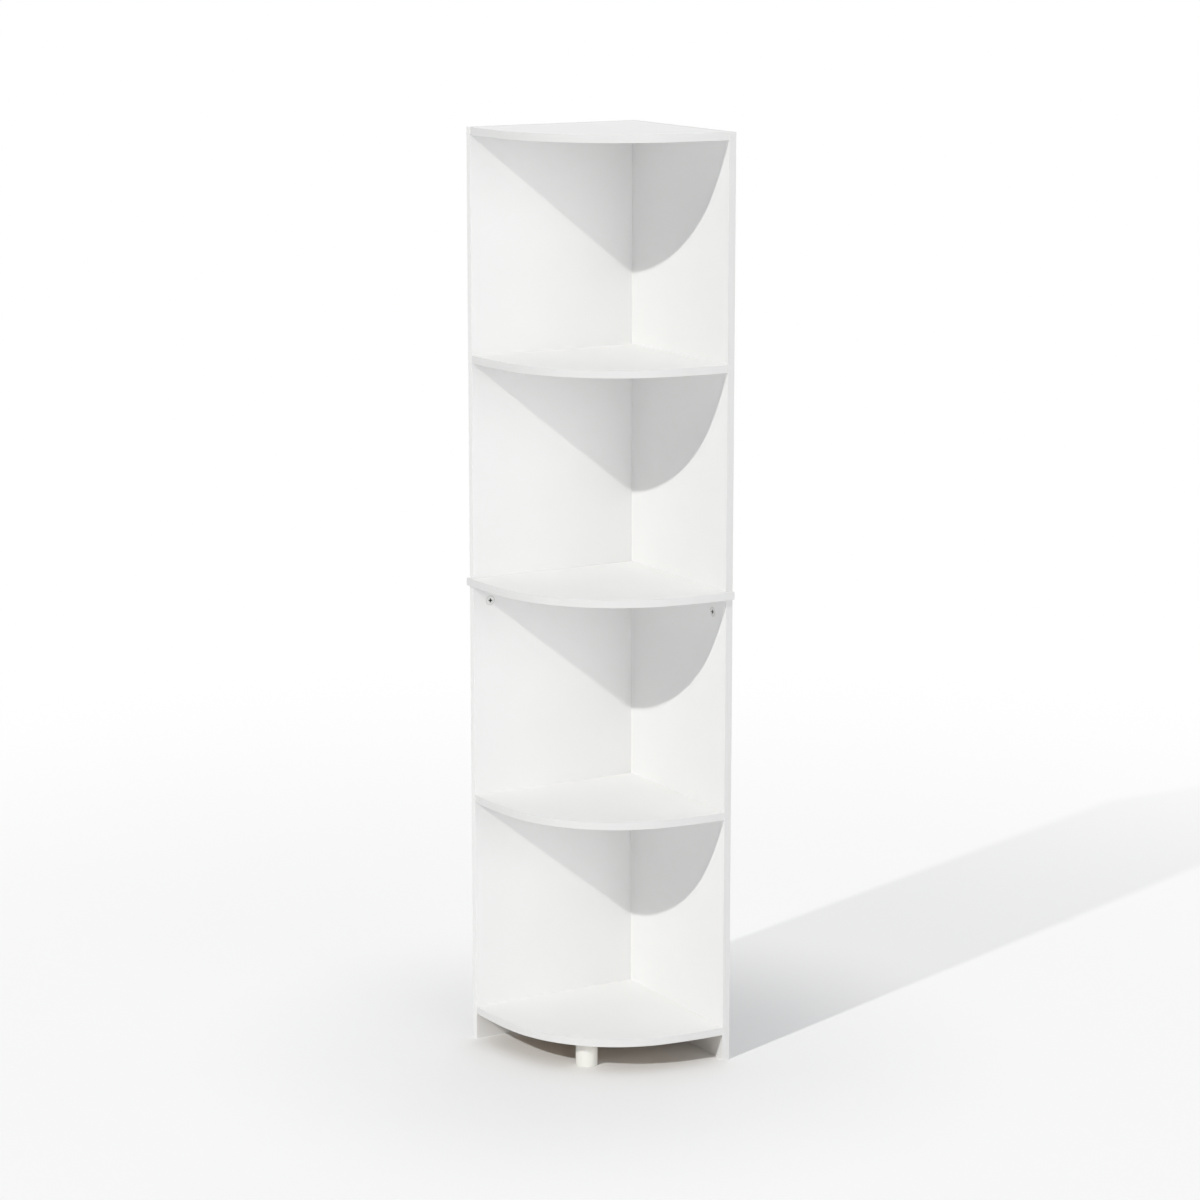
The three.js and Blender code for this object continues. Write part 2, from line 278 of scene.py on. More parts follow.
lying_strip = strip_finish("lying_edge_strip", ALONG_SHELF, *SHADED_STRIP_WHITE)
standing_strip = strip_finish("standing_edge_strip", UP_PANEL, *SHADED_STRIP_WHITE)
painted_light_strip = strip_finish("painted_light_edge_strip", UP_PANEL, *LIT_STRIP_WHITE)
strip_finishes = [lying_strip, standing_strip, painted_light_strip]
print("strip finishes:", [finish.material.name for finish in strip_finishes])

# %% [markdown]
# ## Raw chipboard
# Against the wall, under the panels and the bottom shelf and in the holes there is neither
# strip nor foil, and the pressed chips show: splinters of a millimetre or two, pale and
# brown, with small pits between them. A Voronoi pattern gives each chip a tone of its own.
# Its cells alone would look like pebbles, so a fine noise bends them first. The distance
# from the middle of each cell gives the pits.

# %% Finish: raw chipboard
CHIP_DARK = (0.20, 0.13, 0.08)
CHIP_BROWN = (0.42, 0.32, 0.21)
CHIP_PALE = (0.60, 0.50, 0.36)
CHIP_BEND = (0.003, 0.003, 0.003)


def chip_finish():
    finish = Finish("raw_chipboard", Roughness=0.88)
    swirl = finish.noise(finish.place, scale=90)
    dust = finish.noise(finish.place, scale=1900)
    bend = finish.noise(finish.place, scale=420, output="Color")
    bent = finish.add("ShaderNodeVectorMath", {"operation": "MULTIPLY_ADD"},
                      {0: bend, 1: CHIP_BEND, 2: finish.place})
    chips = {"Vector": bent, "Scale": 560}
    tone = finish.add("ShaderNodeTexVoronoi", None, chips, output="Color")
    depth = finish.add("ShaderNodeTexVoronoi", None, chips, output="Distance")
    grey = finish.add("ShaderNodeSeparateColor", None, {"Color": tone}, output="Red")
    mixed = 0.45 * grey + 0.25 * swirl + 0.3 * dust
    browns = [(0.22, CHIP_DARK), (0.5, CHIP_BROWN), (0.78, CHIP_PALE)]
    finish.put("Base Color", finish.add("ShaderNodeValToRGB", {"stops": browns}, {"Fac": mixed}))
    finish.raise_by(mixed - 0.6 * depth, depth=0.25 * MILLIMETRE, strength=0.8)
    return finish


raw_chipboard = chip_finish()
print("chipboard nodes:", len(raw_chipboard.tree.nodes))

# %% [markdown]
# ## Plastic and metals
# The foot is moulded from off-white plastic, a little warmer than the foil, with the
# faint orange skin that a mould leaves. The cam locks are cast and plated with nickel, so
# they are soft-edged and slightly cloudy. The bottom of their cross is painted nearly
# black, as painted shade in its recess, so the cross has a finish of its own. Screws and
# bolts are steel, plated with zinc, which gives them a fine grain and a blue or yellow breath.

# %% Finish: moulded plastic
PLASTIC_DULL = (0.845, 0.845, 0.80)
PLASTIC_BRIGHT = (0.875, 0.875, 0.835)


def plastic_finish():
    finish = Finish("moulded_plastic")
    cloud = finish.noise(finish.place, scale=40)
    skin = finish.noise(finish.place, scale=700)
    finish.put("Base Color", finish.between(cloud, PLASTIC_DULL, PLASTIC_BRIGHT))
    finish.put("Roughness", 0.36 + 0.1 * skin)
    finish.raise_by(skin, depth=0.03 * MILLIMETRE, strength=0.6)
    return finish


moulded_plastic = plastic_finish()
print("plastic nodes:", len(moulded_plastic.tree.nodes))

# %% Finish: plated metals
NICKEL_TONES = ((0.69, 0.69, 0.68), (0.76, 0.76, 0.75))
# Nearly black tones for the cam's cross: painted shade in its recess.
PAINTED_SHADE_TONES = ((0.02, 0.02, 0.02), (0.05, 0.05, 0.048))
ZINC_TONES = ((0.60, 0.62, 0.64), (0.74, 0.74, 0.72))


def metal_finish(name, dull, bright, grain, roughness, metallic):
    finish = Finish(name, Metallic=metallic)
    cloud = finish.noise(finish.place, scale=350, detail=3)
    fine = finish.noise(finish.place, scale=grain)
    finish.put("Base Color", finish.between(cloud, dull, bright))
    finish.put("Roughness", roughness + 0.12 * cloud + 0.08 * fine)
    finish.raise_by(fine, depth=0.015 * MILLIMETRE, strength=0.5)
    return finish


cast_nickel = metal_finish("cast_nickel", *NICKEL_TONES, grain=1800, roughness=0.38, metallic=0.5)
painted_shade_recess = metal_finish("painted_shade_recess", *PAINTED_SHADE_TONES, grain=1800, roughness=0.5, metallic=0.3)
zinc_plate = metal_finish("zinc_plate", *ZINC_TONES, grain=2600, roughness=0.22, metallic=1)
metals = [cast_nickel, painted_shade_recess, zinc_plate]
print("metals:", [finish.material.name for finish in metals])

# %% [markdown]
# ## Beech
# A dowel is turned from beech: pale pinkish brown, with fine grain along its length and
# short darker flecks. The grain is a noise drawn out along the dowel, which stands
# upright here. The flecks are a second noise, finer and less drawn out, and a colour
# ramp turns the two together into wood.

# %% Finish: beech
BEECH_FLECK = (0.42, 0.27, 0.15)
BEECH_GRAIN = (0.62, 0.44, 0.27)
BEECH_PALE = (0.70, 0.53, 0.35)
GRAIN_UPRIGHT = (900, 900, 45)
FLECK_UPRIGHT = (2200, 2200, 260)


def beech_finish():
    finish = Finish("beech", Roughness=0.62)
    grain = finish.drawn_noise(finish.place, GRAIN_UPRIGHT, detail=3)
    fleck = finish.drawn_noise(finish.place, FLECK_UPRIGHT)
    tone = 0.65 * grain + 0.35 * fleck
    woods = [(0.35, BEECH_FLECK), (0.5, BEECH_GRAIN), (0.65, BEECH_PALE)]
    finish.put("Base Color", finish.add("ShaderNodeValToRGB", {"stops": woods}, {"Fac": tone}))
    finish.raise_by(tone, depth=0.08 * MILLIMETRE, strength=0.7)
    return finish


beech = beech_finish()
print("beech nodes:", len(beech.tree.nodes))

# %% [markdown]
# ## The bench tools
# A few jobs come back with every piece: finding the edges that turn sharply, rounding
# them, turning a profile like on a lathe, and putting the finished mesh where its solid
# was. Most of them are thin covers over Blender's own mesh operators. A weighted normal
# modifier ends every piece: it keeps large faces flat to the light although their
# rounded edges are shaded smoothly.

# %% Tools for edges
SLIGHT_TURN = 30
STRONG_TURN = 60
WELD_DISTANCE = 1e-7


def sharp_edges(bm, degrees=SLIGHT_TURN):
    """The edges where two faces turn by more than some degrees."""
    limit = math.radians(degrees)
    return [edge for edge in bm.edges if edge.is_manifold and edge.calc_face_angle() > limit]


def round_edges(bm, edges, radius, steps):
    bmesh.ops.bevel(bm, geom=edges, offset=radius, offset_type="OFFSET", segments=steps,
                    profile=0.5, affect="EDGES", material=-1)


def open_edges(bm):
    return [edge for edge in bm.edges if edge.is_boundary]


def verts_of(made):
    return [part for part in made if isinstance(part, bmesh.types.BMVert)]


def weld(bm, verts):
    """Merges the points that lie on each other."""
    bmesh.ops.remove_doubles(bm, verts=verts, dist=WELD_DISTANCE)


def lay(bm, place):
    """Moves a whole bmesh to its place."""
    bmesh.ops.transform(bm, matrix=place, verts=bm.verts)


def wear(faces, finish_number):
    """Gives faces the finish that has this number on their piece, counted from 0."""
    for face in faces:
        face.material_index = finish_number


# %% Tools for whole pieces
def object_from(bm, name, finishes):
    """Makes an object with its finishes from a bmesh, and frees the bmesh."""
    weld(bm, bm.verts)
    bmesh.ops.recalc_face_normals(bm, faces=bm.faces)
    mesh = bpy.data.meshes.new(name)
    bm.to_mesh(mesh)
    bm.free()
    for finish in finishes:
        mesh.materials.append(finish.material)
    piece = bpy.data.objects.new(name, mesh)
    scene.collection.objects.link(piece)
    return piece


def cut_away(piece, cutters):
    """Takes the cutters' shapes out of a piece, and leaves the cutters alone."""
    for cutter in cutters:
        cut = piece.modifiers.new("cut", "BOOLEAN")
        cut.operation = "DIFFERENCE"
        cut.solver = "EXACT"
        cut.object = cutter
    whole = piece.data
    graph = bpy.context.evaluated_depsgraph_get()
    piece.data = bpy.data.meshes.new_from_object(piece.evaluated_get(graph))
    piece.modifiers.clear()
    bpy.data.meshes.remove(whole)


# %% A piece takes the place of its solid
SMOOTH_TURN = 35

bodies = frame["record"]["behaviour"]["bodies"]
body_of = {node: body for body, nodes in bodies.items() for node in nodes}
print("bodies:", {body: len(nodes) for body, nodes in bodies.items()})


def stand_in(piece, node):
    """Shades a finished piece and puts it in the place of its solid."""
    piece.data.shade_smooth()
    piece.data.set_sharp_from_angle(angle=math.radians(SMOOTH_TURN))
    even = piece.modifiers.new("even_shading", "WEIGHTED_NORMAL")
    even.keep_sharp = True
    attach(piece, body_of[node])
    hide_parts(node)


# %% A lathe, and a block between two corners
def turn(profile, sides):
    """Turns a profile of (radius, height) points about the Z axis into a closed shape."""
    bm = bmesh.new()
    corners = [bm.verts.new((radius, 0, height)) for radius, height in profile]
    edges = [bm.edges.new(pair) for pair in zip(corners, corners[1:])]
    bmesh.ops.spin(bm, geom=corners + edges, cent=(0, 0, 0), axis=(0, 0, 1),
                   dvec=(0, 0, 0), angle=math.tau, steps=sides, use_merge=True)
    weld(bm, bm.verts)
    bmesh.ops.recalc_face_normals(bm, faces=bm.faces)
    return bm


def block(low, high):
    """A block between two opposite corners."""
    bm = bmesh.new()
    bmesh.ops.create_cube(bm, size=1)
    bmesh.ops.scale(bm, vec=Vector(high) - Vector(low), verts=bm.verts)
    bmesh.ops.translate(bm, vec=(Vector(high) + Vector(low)) / 2, verts=bm.verts)
    return bm


def placed(point, outward, upward):
    """The place of a fitting whose Z axis points out of a face and whose Y axis is given."""
    across = Vector(upward).cross(Vector(outward))
    axes = Matrix((across, upward, outward)).transposed()
    return Matrix.Translation(point) @ axes.to_4x4()


# %% [markdown]
# ## Fastenings come first
# A hole is the shape of what goes into it, with a little air. So the fastenings are made
# before the boards, and each leaves behind a cutter for its hole. Their places are read
# off their solids: the middle of its box gives the axis, and the side that faces out
# gives the head. Which boards a hole goes through follows from the boxes as well. A
# cutter runs a little past the face that it breaks, so that no skin is left there.

# %% Fastenings: ways, gaps and boards
TO_WALL = (0, 1, 0)
TO_ROOM = (0, -1, 0)
SIDEWARD = (1, 0, 0)
SIDE_TO_ROOM = (-1, 0, 0)
UP = (0, 0, 1)
DOWN = (0, 0, -1)
fit_gap = 0.3 * MILLIMETRE
overrun = 1.0 * MILLIMETRE

board_nodes = [node for node in frame["nodes"] if node.endswith(("_panel", "_shelf"))]
cutters = {board: [] for board in board_nodes}
print("boards:", len(board_nodes))


# %% Fastenings: places and holes
def outer_end(node, outward):
    """The point on a solid's axis where it ends towards outward."""
    low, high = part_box(node)
    outward = Vector(outward)
    return (low + high) / 2 + outward * abs((high - low).dot(outward)) / 2


def length_along(node, outward):
    low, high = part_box(node)
    return abs((high - low).dot(Vector(outward)))


def boards_met(node):
    """The boards whose boxes a solid's box runs into."""
    low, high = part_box(node)
    met = []
    for board in board_nodes:
        board_low, board_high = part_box(board)
        if all(low[i] < board_high[i] and high[i] > board_low[i] for i in range(3)):
            met.append(board)
    return met


def keep_cutter(bm, node, place, boards):
    """Keeps a hole's shape for the boards; its faces take the boards' second finish."""
    wear(bm.faces, 1)
    lay(bm, place)
    cutter = object_from(bm, node + "_hole", [white_foil, raw_chipboard])
    for board in boards:
        cutters[board].append(cutter)


# %% [markdown]
# ## Threads
# A thread is one thin ridge that winds up a core. Rings stacked on the core would be
# simpler, but they would be no thread. So a saw-toothed line is spun once round while it
# climbs by one tooth, and each tooth then meets the next. A tooth leaves the core halfway
# up its pitch and has its crest at three quarters. The turns that are left open at the
# two ends are drawn out, one to the point and one to the head.

# %% Threads
FLANK_SHARE = 0.5
CREST_SHARE = 0.75


def thread(core, crest, pitch, low, high, tip, blunt, sides):
    """A threaded rod, open at the top, that narrows to a blunt share over its tip."""
    bm = bmesh.new()
    teeth = int((high - low) / pitch) - 1
    line = [bm.verts.new((core, 0, low))]
    for tooth in range(teeth):
        start = low + tooth * pitch
        line.append(bm.verts.new((core, 0, start + FLANK_SHARE * pitch)))
        line.append(bm.verts.new((crest, 0, start + CREST_SHARE * pitch)))
        line.append(bm.verts.new((core, 0, start + pitch)))
    edges = [bm.edges.new(pair) for pair in zip(line, line[1:])]
    bmesh.ops.spin(bm, geom=line + edges, cent=(0, 0, 0), axis=(0, 0, 1),
                   dvec=(0, 0, pitch / sides), angle=math.tau, steps=sides, use_merge=False)
    weld(bm, bm.verts)

    last_tooth = low + teeth * pitch
    for vert in bm.verts:
        radius = vert.co.xy.length
        ridge = min(1, max(0, (last_tooth - vert.co.z) / pitch))
        slim = core + (radius - core) * ridge
        slim *= min(1, blunt + (1 - blunt) * (vert.co.z - low) / tip)
        vert.co.xy *= slim / radius
    above_point = low + 1.5 * pitch
    first_turn = [v for v in bm.verts if v.is_boundary and v.co.z < above_point]
    bmesh.ops.pointmerge(bm, verts=first_turn, merge_co=(0, 0, low))
    return bm


# %% An open ring drawn on and closed
def draw_on(bm, radius, height):
    """Draws the open ring on to another radius and height."""
    made = bmesh.ops.extrude_edge_only(bm, edges=open_edges(bm))["geom"]
    ring = verts_of(made)
    share = radius / max(vert.co.xy.length for vert in ring)
    bmesh.ops.scale(bm, vec=(share, share, 0), verts=ring)
    bmesh.ops.translate(bm, vec=(0, 0, height), verts=ring)
    weld(bm, ring)


def close_ring(bm):
    bmesh.ops.contextual_create(bm, geom=open_edges(bm))
    bmesh.ops.recalc_face_normals(bm, faces=bm.faces)


# %% A cross recess
def cross_shape(width, reach, depth, narrowing, top):
    """A cross that narrows downwards, to be cut out of a head whose face is at top."""
    bm = bmesh.new()
    bmesh.ops.create_grid(bm, x_segments=3, y_segments=3, size=1)
    for vert in bm.verts:
        for axis in (0, 1):
            is_outer = abs(vert.co[axis]) > 0.5
            vert.co[axis] = math.copysign(reach / 2 if is_outer else width / 2, vert.co[axis])
        vert.co.z = top + overrun
    outer = [f for f in bm.faces if min(abs(c) for c in f.calc_center_median().xy) > width / 2]
    bmesh.ops.delete(bm, geom=outer, context="FACES")
    bottom = verts_of(bmesh.ops.extrude_face_region(bm, geom=bm.faces[:])["geom"])
    bmesh.ops.translate(bm, vec=(0, 0, -overrun - depth), verts=bottom)
    bmesh.ops.scale(bm, vec=(narrowing, narrowing, 1), verts=bottom)
    return bm


# %% [markdown]
# ## Screws
# A chipboard screw is cold-headed, its cross is punched and its thread is rolled. Most of
# them here have the same length, so one is modelled for each length and its mesh is
# copied to every place. A hand never stops all crosses at the same angle, so each copy is
# turned by chance, from a seed that keeps the result the same each time.

# %% Screws: sizes
screw_core = 1.25 * MILLIMETRE
screw_crest = 1.9 * MILLIMETRE
screw_pitch = 1.8 * MILLIMETRE
screw_neck = 1.7 * MILLIMETRE
screw_tip = 5.0 * MILLIMETRE
screw_blunt_share = 0.12
screw_head = 3.6 * MILLIMETRE
screw_head_rim = 0.5 * MILLIMETRE
screw_head_depth = 2.8 * MILLIMETRE
screw_sink = 0.4 * MILLIMETRE
screw_softness = 0.12 * MILLIMETRE
turned_sides = 24
screw_cross = {
    "width": 1.1 * MILLIMETRE,
    "reach": 4.2 * MILLIMETRE,
    "depth": 1.5 * MILLIMETRE,
    "narrowing": 0.62,
}
hole_chamfer = 0.25 * MILLIMETRE
print("screw", 2 * screw_crest, "across its thread and", 2 * screw_head, "across its head")

# %% Screws: the pattern and its hole
def screw_mesh(length):
    """A countersunk screw with its face at zero height and its point below."""
    run_out = -screw_head_depth - screw_core
    bm = thread(screw_core, screw_crest, screw_pitch, -length, run_out, screw_tip,
                screw_blunt_share, turned_sides)
    draw_on(bm, screw_core, run_out)
    draw_on(bm, screw_neck, -screw_head_depth)
    draw_on(bm, screw_head, -screw_sink - screw_head_rim)
    draw_on(bm, screw_head, -screw_sink)
    close_ring(bm)
    rim = [e for e in sharp_edges(bm) if all(v.co.z > -screw_head_depth for v in e.verts)]
    round_edges(bm, rim, screw_softness, steps=2)
    pattern = object_from(bm, "screw_pattern", [zinc_plate])
    cross = object_from(cross_shape(**screw_cross, top=-screw_sink), "screw_cross", [zinc_plate])
    cut_away(pattern, [cross])
    mesh = pattern.data
    bpy.data.objects.remove(pattern)
    bpy.data.objects.remove(cross)
    return mesh


def screw_hole(length):
    """The screw's room, with a small chamfer where it breaks the face."""
    shank = screw_crest + fit_gap
    head = screw_head + fit_gap
    return turn([
        (0, -length - fit_gap),
        (shank, screw_tip - length),
        (shank, -screw_head_depth - fit_gap),
        (head, -screw_sink - screw_head_rim - fit_gap),
        (head, -hole_chamfer),
        (head + hole_chamfer + overrun, overrun),
        (0, overrun),
    ], turned_sides)


# %% Screws: one for every solid
def screw_outward(node):
    if node == "foot_screw" or "_panel_screw" in node:
        return DOWN
    return SIDEWARD if "_side_screw" in node else TO_WALL


CROSS_SEED = 11
luck = random.Random(CROSS_SEED)
screw_patterns = {}
screw_nodes = [node for node in sorted(frame["nodes"]) if "screw" in node]
for node in screw_nodes:
    outward = screw_outward(node)
    length = length_along(node, outward) + screw_sink
    key = round(length, 5)
    if key not in screw_patterns:
        screw_patterns[key] = screw_mesh(length)
    board_face = outer_end(node, outward) + screw_sink * Vector(outward)
    place = placed(board_face, outward, TO_ROOM if outward == DOWN else UP)
    mesh = screw_patterns[key].copy()
    mesh.transform(place @ Matrix.Rotation(luck.uniform(0, math.pi), 4, "Z"))
    piece = bpy.data.objects.new(node + "_threaded", mesh)
    scene.collection.objects.link(piece)
    keep_cutter(screw_hole(length), node, place, boards_met(node))
    stand_in(piece, node)

lengths = {key: len(mesh.polygons) for key, mesh in screw_patterns.items()}
print("screws:", len(screw_nodes), "faces by length:", lengths)

# %% [markdown]
# ## Dowels
# A dowel is a beech rod with flutes, which let air and glue out of its hole, and with its
# ends chamfered so that it finds the hole. A circle with every fourth point drawn in is
# its section. The ring is drawn on three times: chamfer, shaft, chamfer.

# %% Dowels
dowel_radius = 4.0 * MILLIMETRE
dowel_chamfer = 0.8 * MILLIMETRE
dowel_flute_depth = 0.25 * MILLIMETRE
dowel_flutes = 24
points_per_flute = 4


def fluted_rod(length):
    """A fluted rod from zero height up, chamfered at both ends."""
    bm = bmesh.new()
    end_radius = dowel_radius - dowel_chamfer
    points = points_per_flute * dowel_flutes
    ring = bmesh.ops.create_circle(bm, cap_ends=True, radius=end_radius, segments=points)
    for vert in ring["verts"][::points_per_flute]:
        vert.co.xy *= 1 - dowel_flute_depth / dowel_radius
    draw_on(bm, dowel_radius, dowel_chamfer)
    draw_on(bm, dowel_radius, length - dowel_chamfer)
    draw_on(bm, end_radius, length)
    close_ring(bm)
    return bm


def dowel_hole(length):
    radius = dowel_radius + fit_gap
    return turn([
        (0, -fit_gap),
        (radius - dowel_chamfer, -fit_gap),
        (radius, dowel_chamfer - fit_gap),
        (radius, length - dowel_chamfer + fit_gap),
        (radius - dowel_chamfer, length + fit_gap),
        (0, length + fit_gap),
    ], turned_sides)


# %% Dowels: one for every solid
dowel_nodes = [node for node in sorted(frame["nodes"]) if "dowel" in node]
for node in dowel_nodes:
    length = length_along(node, UP)
    place = placed(outer_end(node, DOWN), UP, TO_WALL)
    bm = fluted_rod(length)
    lay(bm, place)
    piece = object_from(bm, node + "_fluted", [beech])
    keep_cutter(dowel_hole(length), node, place, boards_met(node))
    stand_in(piece, node)
print("dowels:", len(dowel_nodes), "faces each:", len(piece.data.polygons))

# %% [markdown]
# ## Cam locks
# A cam lock is a small cast cup that lies in a bore of the panel with only its rim and
# its cross showing. Inside, a slot that winds inwards takes the head of a bolt and pulls
# it as the cam turns. The cup is turned like on a lathe. Then a mouth, for the bolt's
# head, a slot, for its neck, and a tapered cross are cut out of it.

# %% Cam locks: sizes
middle_of_board = board_thickness / 2
bolt_head = 3.1 * MILLIMETRE
bolt_neck = 1.8 * MILLIMETRE
bolt_shank = 2.9 * MILLIMETRE
cam_proud = 0.3 * MILLIMETRE
cam_rim_seat = 0.6 * MILLIMETRE
cam_radius = 7.5 * MILLIMETRE
cam_wall = 1.8 * MILLIMETRE
cam_softness = 0.35 * MILLIMETRE
cam_sides = 64
cam_turn = math.radians(190)
cam_cross_floor = 1.5 * MILLIMETRE
cam_roof = middle_of_board - bolt_head - fit_gap
cam_recess = cam_proud + cam_roof - cam_cross_floor
cam_mouth_angle = math.pi / 2 - cam_turn
cam_cross = {
    "width": 2.5 * MILLIMETRE,
    "reach": 8.0 * MILLIMETRE,
    "depth": cam_recess,
    "narrowing": 0.7,
}
cam_cavity = cam_radius - cam_wall
cam_rim = length_along("back_cam_lock", UP) / 2
cam_depth = length_along("back_cam_lock", TO_ROOM) - cam_proud
print("cam rim", round(2 * cam_rim, 5), "across, cup", round(cam_depth, 5), "deep")

# %% Cam locks: the cup and its bore
def cam_cup():
    bm = turn([
        (0, -cam_roof),
        (cam_cavity, -cam_roof),
        (cam_cavity, -cam_depth),
        (cam_radius, -cam_depth),
        (cam_radius, -cam_rim_seat),
        (cam_rim, -cam_rim_seat),
        (cam_rim, cam_proud),
        (0, cam_proud),
    ], cam_sides)
    rim = [e for e in sharp_edges(bm) if all(v.co.z > 0 for v in e.verts)]
    round_edges(bm, rim, cam_softness, steps=4)
    return bm


def cam_bore():
    floor = -cam_depth - fit_gap
    seat = -cam_rim_seat - fit_gap
    return turn([
        (0, floor),
        (cam_radius + fit_gap, floor),
        (cam_radius + fit_gap, seat),
        (cam_rim + fit_gap, seat),
        (cam_rim + fit_gap, overrun),
        (0, overrun),
    ], cam_sides)


# %% Cam locks: the mouth and the slot
def cam_mouth():
    """The opening in the cup's wall where the bolt's head comes in."""
    half = bolt_head + fit_gap
    bm = block((0, -half, -cam_depth - overrun), (cam_radius + overrun, half, -cam_roof))
    lay(bm, Matrix.Rotation(cam_mouth_angle, 4, "Z"))
    return bm


def cam_slot():
    """The slot that runs on from the mouth and keeps the bolt's neck."""
    half = bolt_neck + fit_gap
    end = math.pi / 2 + math.asin((half + fit_gap) / cam_cavity)
    inner, outer = cam_cavity - overrun, cam_radius + overrun
    low, high = -middle_of_board - half, -middle_of_board + half
    outline = [(inner, low), (outer, low), (outer, high), (inner, high)]
    bm = bmesh.new()
    section = bm.faces.new([bm.verts.new((x, 0, z)) for x, z in outline])
    lay(bm, Matrix.Rotation(cam_mouth_angle, 4, "Z"))
    bmesh.ops.spin(bm, geom=[section], cent=(0, 0, 0), axis=(0, 0, 1), dvec=(0, 0, 0),
                   angle=end - cam_mouth_angle, steps=cam_sides, use_merge=False)
    return bm


# %% Cam locks: one in each lower panel
def add_cam_lock(side, outward):
    node = side + "_cam_lock"
    board_face = outer_end(node, outward) - cam_proud * Vector(outward)
    place = placed(board_face, outward, UP)
    cross = cross_shape(**cam_cross, top=cam_proud)
    # The cross's faces take the second finish, the painted shade.
    wear(cross.faces, 1)
    cup = cam_cup()
    cut_shapes = [cross, cam_mouth(), cam_slot()]
    for bm in [cup] + cut_shapes:
        lay(bm, place)
    finishes = [cast_nickel, painted_shade_recess]
    piece = object_from(cup, side + "_cam_casting", finishes)
    cuts = [object_from(bm, "cam_cut", finishes) for bm in cut_shapes]
    cut_away(piece, cuts)
    for cut in cuts:
        bpy.data.objects.remove(cut)
    keep_cutter(cam_bore(), node, place, [f"lower_{side}_panel"])
    stand_in(piece, node)
    print(piece.name, "faces:", len(piece.data.polygons))


add_cam_lock("back", TO_ROOM)
add_cam_lock("side", SIDE_TO_ROOM)

# %% [markdown]
# ## Cam bolts
# The bolt is screwed up into the middle shelf and hangs down into the panel, where its
# head lies inside the cam. It is made head up, as a screw is, and turned over at the end.

# %% Cam bolts
bolt_core = 2.3 * MILLIMETRE
bolt_pitch = 1.3 * MILLIMETRE
bolt_thread = 9.0 * MILLIMETRE
bolt_tip = 1.5 * MILLIMETRE
bolt_blunt_share = 0.75
bolt_head_length = 6.2 * MILLIMETRE
bolt_slope = bolt_head - bolt_neck
bolt_neck_length = cam_wall + 2 * fit_gap


def bolt_shape(length):
    """A bolt with its head's end at zero height and its thread's end below."""
    thread_end = bolt_thread - length
    neck_end = -bolt_head_length - bolt_neck_length
    bm = thread(bolt_core, bolt_shank, bolt_pitch, -length, thread_end, bolt_tip,
                bolt_blunt_share, turned_sides)
    draw_on(bm, bolt_core, thread_end)
    draw_on(bm, bolt_shank, thread_end + bolt_slope)
    draw_on(bm, bolt_shank, neck_end - bolt_slope)
    draw_on(bm, bolt_neck, neck_end)
    draw_on(bm, bolt_neck, -bolt_head_length)
    draw_on(bm, bolt_head, bolt_slope - bolt_head_length)
    draw_on(bm, bolt_head, -bolt_slope)
    draw_on(bm, bolt_neck, 0)
    close_ring(bm)
    return bm


def bolt_hole(length):
    radius = bolt_shank + fit_gap
    floor = -length - fit_gap
    return turn([(0, floor), (radius, floor), (radius, 0), (0, 0)], turned_sides)


for side in ("back", "side"):
    node = side + "_cam_bolt"
    length = length_along(node, UP)
    place = placed(outer_end(node, DOWN), DOWN, TO_ROOM)
    bm = bolt_shape(length)
    lay(bm, place)
    piece = object_from(bm, node + "_threaded", [zinc_plate])
    keep_cutter(bolt_hole(length), node, place, boards_met(node))
    stand_in(piece, node)
    print(piece.name, "faces:", len(piece.data.polygons))

# %% [markdown]
# ## The foot
# The foot is moulded like a cup with its mouth on the floor and a boss down its middle
# for the screw. Its section is one closed line, spun round, and the edges that a mould
# would round are bevelled afterwards.

# %% The foot
foot_low, foot_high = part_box("foot")
foot_radius = (foot_high.x - foot_low.x) / 2
foot_height = foot_high.z - foot_low.z
foot_wall = 2.4 * MILLIMETRE
foot_plate = 4.0 * MILLIMETRE
foot_boss = 6.5 * MILLIMETRE
foot_rounding = 1.1 * MILLIMETRE
foot_top_rounding = 0.275 * MILLIMETRE
foot_sides = 96
foot_boss_low = outer_end("foot_screw", DOWN).z - screw_sink


def foot_shape():
    inside = foot_radius - foot_wall
    bore = screw_crest + fit_gap
    seat = screw_head + fit_gap
    outline = [
        (inside, 0),
        (foot_radius, 0),
        (foot_radius, foot_height),
        (bore, foot_height),
        (bore, foot_boss_low + screw_head_depth + fit_gap),
        (seat, foot_boss_low + screw_sink + screw_head_rim + fit_gap),
        (seat, foot_boss_low),
        (foot_boss, foot_boss_low),
        (foot_boss, foot_height - foot_plate),
        (inside, foot_height - foot_plate),
    ]
    bm = turn(outline + outline[:1], foot_sides)
    limit = foot_boss_low / 2
    lower = [e for e in sharp_edges(bm, STRONG_TURN) if all(v.co.z < limit for v in e.verts)]
    round_edges(bm, lower, foot_rounding, steps=4)
    upper = [e for e in sharp_edges(bm, STRONG_TURN) if all(v.co.z > limit for v in e.verts)]
    round_edges(bm, upper, foot_top_rounding, steps=2)
    centre = (foot_low + foot_high) / 2
    bmesh.ops.translate(bm, vec=(centre.x, centre.y, 0), verts=bm.verts)
    return bm


foot = object_from(foot_shape(), "round_foot", [moulded_plastic])
stand_in(foot, "foot")
print("foot", round(2 * foot_radius, 4), "across, faces:", len(foot.data.polygons))

# %% [markdown]
# ## The bow of a shelf
# A shelf's front leaves both panels squarely and swings round in one bow. Three arcs give
# it: a flat one from each panel, and a tighter one between them that they meet smoothly.
# A list of points would do too, but a spin says what the curve is: whatever lies at the
# first panel, a corner for the board or a section for the strip, is swung about the
# three centres in turn. Only the bow is chosen. The radius of the flat arcs follows from
# where they meet it. The middle shelf runs straight on past the panels at both ends.

# %% The bow of a shelf
bow_centre_share = 0.2412
bow_radius_share = 0.7415
flat_steps = 10
bow_steps = 56

